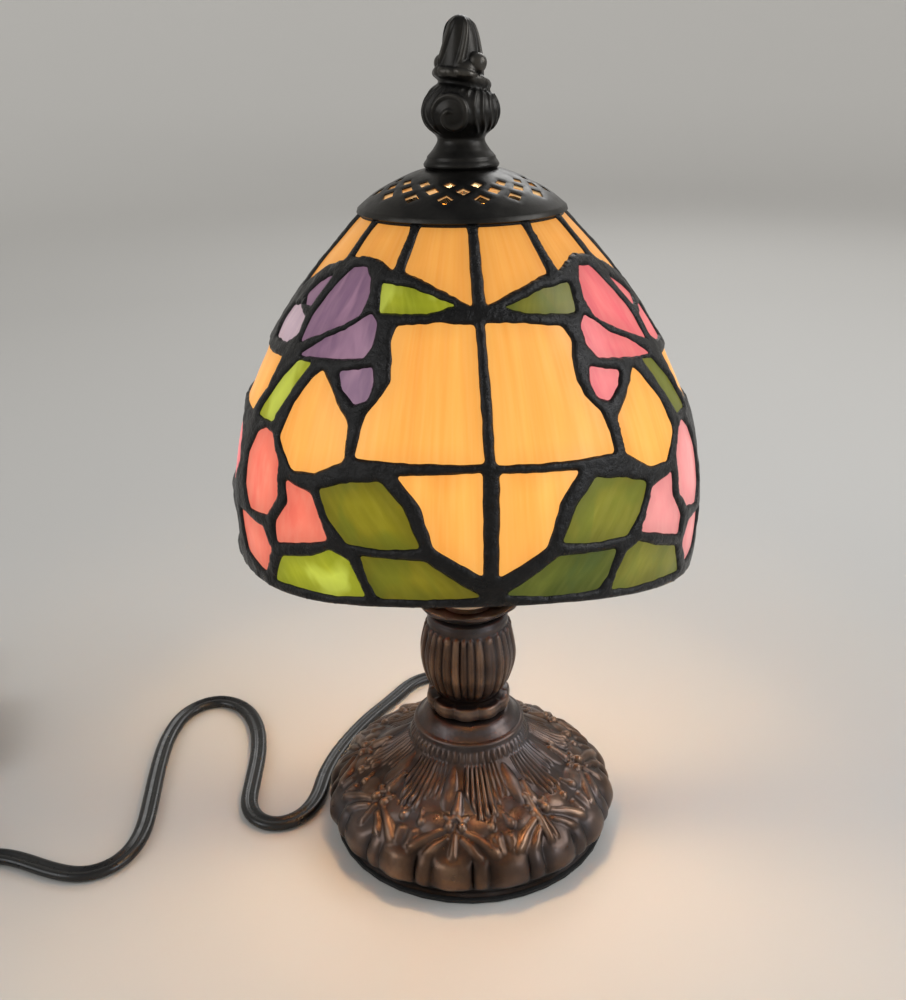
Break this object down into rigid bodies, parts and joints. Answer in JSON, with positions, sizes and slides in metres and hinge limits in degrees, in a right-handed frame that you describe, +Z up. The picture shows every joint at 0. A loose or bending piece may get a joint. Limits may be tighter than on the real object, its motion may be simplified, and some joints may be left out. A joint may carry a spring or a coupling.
{
  "type": "stained glass table lamp",
  "caption": "Small table lamp with a leaded opalescent glass dome shade, pierced heat cap and finial, on a cast bronze-coloured stem and base, with bulb, cord, in-line switch and plug.",
  "frame": {"origin": "on the lamp's axis, at the underside of the base pad", "axes": "+Z up along the lamp's axis, -Y towards the front, +X to the viewer's right"},
  "size_m": [0.3484, 0.2067, 0.2715],
  "materials": {
    "bronze": "antique bronze, worn on the relief",
    "black_metal": "satin black patina",
    "solder": "black patinated solder",
    "glass_amber": "opalescent amber, lit from inside",
    "glass_green": "streaky opalescent green",
    "glass_pink": "opalescent pink",
    "glass_lilac": "opalescent lilac",
    "steel": "zinc plated",
    "brass": "bright",
    "clear_glass": "warm frosted",
    "tungsten": "glowing wire",
    "ivory_plastic": "moulded",
    "cord_plastic": "extruded PVC, semi-gloss",
    "black_plastic": "moulded, fine texture",
    "black_rubber": "moulded strain relief",
    "felt": "felt"
  },
  "bodies": {
    "lamp": {"base_casting": "bronze", "base_pad": "felt", "base_nut": "steel", "lock_washer": "steel", "neck_ring": "bronze", "leaf_cup": "bronze", "vase_body": "bronze", "drip_dish": "bronze", "threaded_rod": "steel", "harp": "steel", "harp_stud": "steel", "socket_sleeve": "ivory_plastic", "socket_shell": "brass", "socket_contact": "brass", "cord_bushing": "black_rubber", "inner_lead": "cord_plastic", "cord_free": "cord_plastic", "cord_coil": "cord_plastic", "coil_tie": "cord_plastic", "cord_tail_a": "cord_plastic", "cord_tail_b": "cord_plastic", "switch_top": "black_plastic", "switch_bottom": "black_plastic", "plug_body": "black_plastic", "plug_blade_left": "brass", "plug_blade_right": "brass"},
    "shade": {"heat_cap": "black_metal", "solder_lattice": "solder", "glass_crown_inner_front_right": "glass_amber", "glass_crown_inner_back_right": "glass_amber", "glass_crown_inner_back_left": "glass_amber", "glass_crown_inner_front_left": "glass_amber", "glass_crown_middle_front_right": "glass_amber", "glass_crown_middle_back_right": "glass_amber", "glass_crown_middle_back_left": "glass_amber", "glass_crown_middle_front_left": "glass_amber", "glass_crown_outer_front_right": "glass_amber", "glass_crown_outer_back_right": "glass_amber", "glass_crown_outer_back_left": "glass_amber", "glass_crown_outer_front_left": "glass_amber", "glass_bud_front_right": "glass_pink", "glass_bud_back_right": "glass_lilac", "glass_bud_back_left": "glass_pink", "glass_bud_front_left": "glass_lilac", "glass_field_front_right": "glass_amber", "glass_field_back_right": "glass_amber", "glass_field_back_left": "glass_amber", "glass_field_front_left": "glass_amber", "glass_foot_front_right": "glass_green", "glass_foot_back_right": "glass_green", "glass_foot_back_left": "glass_green", "glass_foot_front_left": "glass_green", "glass_side_left": "glass_pink", "glass_side_right": "glass_pink"},
    "finial": {"finial": "black_metal"},
    "bulb": {"bulb_envelope": "clear_glass", "bulb_cap": "brass", "bulb_stem": "clear_glass", "bulb_filament": "tungsten"},
    "rocker": {"switch_rocker": "black_plastic"}
  },
  "joints": [
    {"name": "shade_turn", "type": "hinge", "parent": "lamp", "child": "shade", "pos_m": [0, 0, 0.2175], "axis": [0, 0, 1], "continuous": true},
    {"name": "finial_turn", "type": "hinge", "parent": "shade", "child": "finial", "pos_m": [0, 0, 0.2299], "axis": [0, 0, 1], "range_deg": [0, 990]},
    {"name": "bulb_turn", "type": "hinge", "parent": "lamp", "child": "bulb", "pos_m": [0, 0, 0.11], "axis": [0, 0, 1], "range_deg": [0, 990]},
    {"name": "rocker_tilt", "type": "hinge", "parent": "lamp", "child": "rocker", "pos_m": [-0.211, 0.046, 0.0144], "axis": [-0.9659, -0.2588, 0], "range_deg": [0, 16]}
  ]
}
